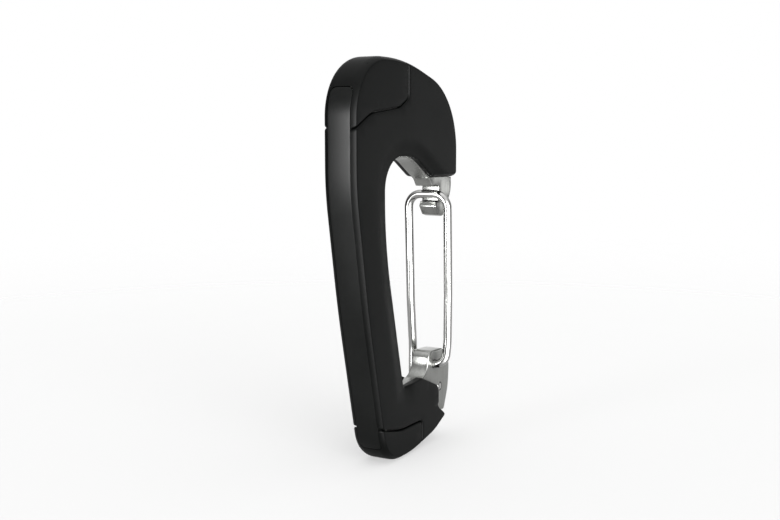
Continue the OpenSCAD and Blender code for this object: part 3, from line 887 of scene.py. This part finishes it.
LOOKS = {
    "cover_plastic": finish_of("cover_plastic", (0.0010, 0.0012, 0.0011), (0.0016, 0.0018, 0.0017),
                               (0.34, 0.40), specular=0.09, bump=0.3, bump_size=5200),
    "lead_rubber": finish_of("lead_rubber", (0.0022, 0.0024, 0.0023), (0.0033, 0.0036, 0.0034),
                             (0.34, 0.40), specular=0.13, bump=0.35, bump_size=3600),
    "plug_plastic": finish_of("plug_plastic", (0.012, 0.012, 0.012), (0.02, 0.02, 0.02),
                              (0.42, 0.55), specular=0.4, bump=0.4),
    # plate_steel has painted shade: its colour is darkened in recesses and corners within 3 mm
    "plate_steel": finish_of("plate_steel", (0.34, 0.345, 0.33), (0.40, 0.405, 0.39),
                             (0.20, 0.25), metallic=1.0, grain=1500, bump=0.2, stretch=(1, 1, 0.05),
                             painted_shade_reach=3.0),
    "wire_steel": finish_of("wire_steel", (0.50, 0.50, 0.49), (0.56, 0.56, 0.55),
                            (0.06, 0.10), metallic=1.0, grain=700, bump=0.06),
    "plug_shell_metal": finish_of("plug_shell_metal", (0.56, 0.56, 0.55), (0.66, 0.66, 0.65),
                                  (0.18, 0.30), metallic=1.0, bump=0.12, stretch=(0.06, 1, 1)),
    "crimp_metal": finish_of("crimp_metal", (0.5, 0.5, 0.48), (0.62, 0.62, 0.6), (0.25, 0.4),
                             metallic=1.0, bump=0.2),
    "spring_leaf": finish_of("spring_leaf", (0.45, 0.45, 0.46), (0.6, 0.6, 0.6), (0.2, 0.32),
                             metallic=1.0, bump=0.15, stretch=(0.06, 1, 1)),
    "contact_gold": finish_of("contact_gold", (0.72, 0.48, 0.17), (0.86, 0.62, 0.26), (0.16, 0.28),
                              metallic=1.0, bump=0.1),
    "tongue_white": finish_of("tongue_white", (0.68, 0.68, 0.66), (0.78, 0.78, 0.76), (0.35, 0.48)),
    "tongue_black": finish_of("tongue_black", (0.012, 0.012, 0.013), (0.02, 0.02, 0.02), (0.35, 0.5)),
    "insulation_red": finish_of("insulation_red", (0.38, 0.02, 0.015), (0.5, 0.035, 0.025), (0.4, 0.5)),
    "insulation_black": finish_of("insulation_black", (0.01, 0.01, 0.01), (0.018, 0.018, 0.018),
                                  (0.4, 0.5)),
    "insulation_green": finish_of("insulation_green", (0.02, 0.19, 0.05), (0.03, 0.27, 0.075),
                                  (0.4, 0.5)),
    "insulation_white": finish_of("insulation_white", (0.66, 0.66, 0.62), (0.76, 0.76, 0.72),
                                  (0.4, 0.5)),
}
WIRE_LOOKS = ["insulation_red", "insulation_white", "insulation_green", "insulation_black"]


def dress(piece, look):
    """Gives a piece its material."""
    piece.data.materials.clear()
    piece.data.materials.append(LOOKS[look])


def keep(node, look):
    """Gives a CAD node that stays in sight its material."""
    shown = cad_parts[node]
    for material_slot in shown.material_slots:
        material_slot.link = "OBJECT"
        material_slot.material = LOOKS[look]


# ---------------------------------------------------------------- the object


def rides(piece, body, look, *stands_for):
    """Dresses a piece, puts it on its body and hides the CAD nodes that it stands for."""
    dress(piece, look)
    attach(piece, body)
    if stands_for:
        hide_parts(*stands_for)


def bends(piece, body, look, heights, *stands_for):
    """Dresses a piece, bakes its placement into its mesh and hides the CAD nodes that it stands for.
    The body and the heights are not used."""
    dress(piece, look)
    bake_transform(piece)
    if stands_for:
        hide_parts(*stands_for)


HEAD_BEND = (50.0, 85.0)  # heights given for the lead after the larger plug
FOOT_BEND = (40.0, 12.0)  # and after the smaller one
GATE_BEND = (15.0, 30.0)  # and for the held leg after the gate

rides(cover("cover_near", -1), "frame", "cover_plastic", "front_cover")
rides(cover("cover_far", 1), "frame", "cover_plastic", "rear_cover")
head_cap = cap("cap_head", cap_head_line, HEAD_CAVITIES, CAP_PLAY)
rides(head_cap, "head_plug", "cover_plastic", "head_cap")
foot_cap = cap("cap_foot", cap_foot_line, FOOT_CAVITIES, COVER_PLAY)
rides(foot_cap, "foot_plug", "cover_plastic", "foot_cap")
rides(plate("steel_plate"), "frame", "plate_steel", "core_plate")

swing = tube("gate_swing", path(SWING_WIRE, False, WIRE_STEP), WIRE_R, 32, (True, False))
rides(swing, "gate", "wire_steel", "gate_wire")
held = tube("gate_held_leg", path(HELD_WIRE, False, WIRE_STEP), WIRE_R, 32, (False, True))
bends(held, "gate", "wire_steel", GATE_BEND, "gate_tail")

lead_shape = (LEAD_W / 2, 0.0, LEAD_T, LEAD_END_R, LEAD_CROWN, LEAD_EDGE)
upper = strap("lead_upper", LEAD_TOP, LEAD_SPLIT, *lead_shape, True, False)
bends(upper, "head_plug", "lead_rubber", HEAD_BEND, "lead_jacket", "head_lead_end")
lower = strap("lead_lower", LEAD_SPLIT, LEAD_LOW, *lead_shape, False, True)
bends(lower, "foot_plug", "lead_rubber", FOOT_BEND, "foot_lead_end")
head_root = lead_root("lead_root_head", np.linspace(1.9, 7.1, 16), 87.2, 92.5)
rides(head_root, "head_plug", "lead_rubber")
foot_root = lead_root("lead_root_foot", np.linspace(14.5, 18.1, 12), 4.8, 9.3)
rides(foot_root, "foot_plug", "lead_rubber")
for k, (node, look) in enumerate(zip(WIRES, WIRE_LOOKS)):
    bends(wire_half(node + "_upper", k, True), "head_plug", look, HEAD_BEND, node)
    bends(wire_half(node + "_lower", k, False), "foot_plug", look, FOOT_BEND)


def window_pair(x0, x1, y0, y1, middle_z, offset, half_z):
    """Boxes for the two windows in a plug's shell, above and below its middle."""
    middles = [middle_z - offset, middle_z + offset]
    return [((x0, y0, z - half_z), (x1, y1, z + half_z)) for z in middles]


large_windows = window_pair(32.25, 34.25, -3, 3, TYPE_A_Z, 2.85, 1.25)
large_shell = plug_shell("large_plug_shell", 24.0, 38.65, 2.25, TYPE_A_Z, 6.0, 0.5, 0.3, large_windows)
rides(large_shell, "head_plug", "plug_shell_metal", "type_a_shell")
small_windows = window_pair(37.2, 38.4, -2, 0, SMALL_Z, 2.3, 0.45)
small_shell = plug_shell("small_plug_shell", 31.6, 39.4, 0.9, SMALL_Z, 3.425, 0.35, 0.25, small_windows)
rides(small_shell, "foot_plug", "plug_shell_metal", "foot_plug_shell")

for node, look in {
    "head_plug_body": "plug_plastic",
    "type_a_tongue": "tongue_white",
    "type_a_contacts": "contact_gold",
    "head_crimp": "crimp_metal",
    "foot_plug_body": "plug_plastic",
    "foot_plug_tongue": "tongue_black",
    "foot_plug_contacts": "contact_gold",
    "foot_plug_hooks": "plug_shell_metal",
    "foot_crimp": "crimp_metal",
    "head_grip_spring": "spring_leaf",
    "foot_grip_spring": "spring_leaf",
}.items():
    keep(node, look)

# ---------------------------------------------------------------- floor, light and camera

VIEW_TURN, VIEW_RISE = math.radians(-60), math.radians(6.84)
CAMERA_AT = Vector((-241.4, -137.8, 84.5)) * MM
FLOOR_R = 3.0             # metres
FLOOR_FADE = (0.05, 0.6)  # distances between which the floor fades out, metres
FLOOR_CLEAR = 0.45        # how clear it is under the object
FLOOR_WHITE = 0.9
AMBIENT = 0.10            # light from everywhere
BEHIND = 1.0              # brightness that the camera sees past the object


def make_floor():
    """A pale floor, partly clear so that it takes only a faint shadow, that fades into the
    white behind it."""
    work = bmesh.new()
    bmesh.ops.create_circle(work, cap_ends=True, segments=96, radius=FLOOR_R)
    mesh = bpy.data.meshes.new("floor")
    work.to_mesh(mesh)
    work.free()
    floor = bpy.data.objects.new("floor", mesh)
    bpy.context.scene.collection.objects.link(floor)
    made = bpy.data.materials.new("floor")
    made.use_nodes = True
    tree = made.node_tree
    tree.nodes.remove(next(n for n in tree.nodes if n.type == "BSDF_PRINCIPLED"))
    end = next(n for n in tree.nodes if n.type == "OUTPUT_MATERIAL")
    near = add(tree, "ShaderNodeBsdfDiffuse")
    near.inputs["Color"].default_value = (FLOOR_WHITE, FLOOR_WHITE, FLOOR_WHITE, 1)
    clear = add(tree, "ShaderNodeBsdfTransparent")
    where = add(tree, "ShaderNodeTexCoord")
    away = add(tree, "ShaderNodeVectorMath", operation="LENGTH")
    tree.links.new(where.outputs["Object"], away.inputs[0])
    fade = add(tree, "ShaderNodeMapRange", Value=away.outputs["Value"])
    fade.interpolation_type = "SMOOTHSTEP"
    fade.inputs["From Min"].default_value = FLOOR_FADE[0]
    fade.inputs["From Max"].default_value = FLOOR_FADE[1]
    fade.inputs["To Min"].default_value = FLOOR_CLEAR
    fade.inputs["To Max"].default_value = 1.0
    mix = add(tree, "ShaderNodeMixShader")
    tree.links.new(fade.outputs["Result"], mix.inputs[0])
    tree.links.new(near.outputs[0], mix.inputs[1])
    tree.links.new(clear.outputs[0], mix.inputs[2])
    tree.links.new(mix.outputs[0], end.inputs["Surface"])
    mesh.materials.append(made)


# Soft patches of light round the object: direction, brightness and how narrow each is.
LIGHT_PATCHES = [
    ((-0.95, 0.30, -0.01), 78.0, 90),    # softbox on the left
    ((-0.55, -0.82, -0.14), 24.0, 10),   # softbox by the camera
    ((0.88, -0.46, 0.08), 0.35, 10),     # wall on the right
    ((0.89, -0.455, -0.03), 3.2, 350),   # and a brighter spot on it
    ((0.86, 0.50, 0.10), 1.3, 14),       # wall behind
    ((-0.1, -0.1, 1.0), 1.7, 2),         # above
]


def make_light():
    """White where the camera looks past the object, and soft patches of light elsewhere."""
    world = bpy.data.worlds.new("studio")
    bpy.context.scene.world = world
    world.use_nodes = True
    tree = world.node_tree
    tree.nodes.clear()
    where = add(tree, "ShaderNodeTexCoord")
    total = None
    for direction, brightness, power in LIGHT_PATCHES:
        facing = add(tree, "ShaderNodeVectorMath", operation="DOT_PRODUCT")
        tree.links.new(where.outputs["Generated"], facing.inputs[0])
        facing.inputs[1].default_value = Vector(direction).normalized()
        front = add(tree, "ShaderNodeMath", operation="MAXIMUM")
        tree.links.new(facing.outputs["Value"], front.inputs[0])
        front.inputs[1].default_value = 0
        narrow = add(tree, "ShaderNodeMath", operation="POWER")
        tree.links.new(front.outputs[0], narrow.inputs[0])
        narrow.inputs[1].default_value = power
        patch = add(tree, "ShaderNodeMath", operation="MULTIPLY_ADD")
        tree.links.new(narrow.outputs[0], patch.inputs[0])
        patch.inputs[1].default_value = brightness
        if total is None:
            patch.inputs[2].default_value = AMBIENT
        else:
            tree.links.new(total, patch.inputs[2])
        total = patch.outputs[0]
    around = add(tree, "ShaderNodeBackground")
    tree.links.new(total, around.inputs["Strength"])
    behind = add(tree, "ShaderNodeBackground")
    behind.inputs["Color"].default_value = (BEHIND, BEHIND, BEHIND, 1)
    ray = add(tree, "ShaderNodeLightPath")
    mix = add(tree, "ShaderNodeMixShader")
    tree.links.new(ray.outputs["Is Camera Ray"], mix.inputs[0])
    tree.links.new(around.outputs[0], mix.inputs[1])
    tree.links.new(behind.outputs[0], mix.inputs[2])
    end = add(tree, "ShaderNodeOutputWorld")
    tree.links.new(mix.outputs[0], end.inputs["Surface"])


def make_camera():
    """The camera, which looks along the spine's side and a little down."""
    lens = bpy.data.cameras.new("camera")
    lens.lens, lens.sensor_width = 50, 36
    lens.clip_start, lens.clip_end = 0.01, 20
    camera = bpy.data.objects.new("camera", lens)
    bpy.context.scene.collection.objects.link(camera)
    back = Vector((
        math.sin(VIEW_TURN) * math.cos(VIEW_RISE),
        -math.cos(VIEW_TURN) * math.cos(VIEW_RISE),
        math.sin(VIEW_RISE),
    ))
    camera.rotation_mode = "QUATERNION"
    camera.rotation_quaternion = (-back).to_track_quat("-Z", "Y")
    camera.location = CAMERA_AT
    bpy.context.scene.camera = camera


make_floor()
make_light()
make_camera()
bpy.context.scene.view_settings.view_transform = "Standard"
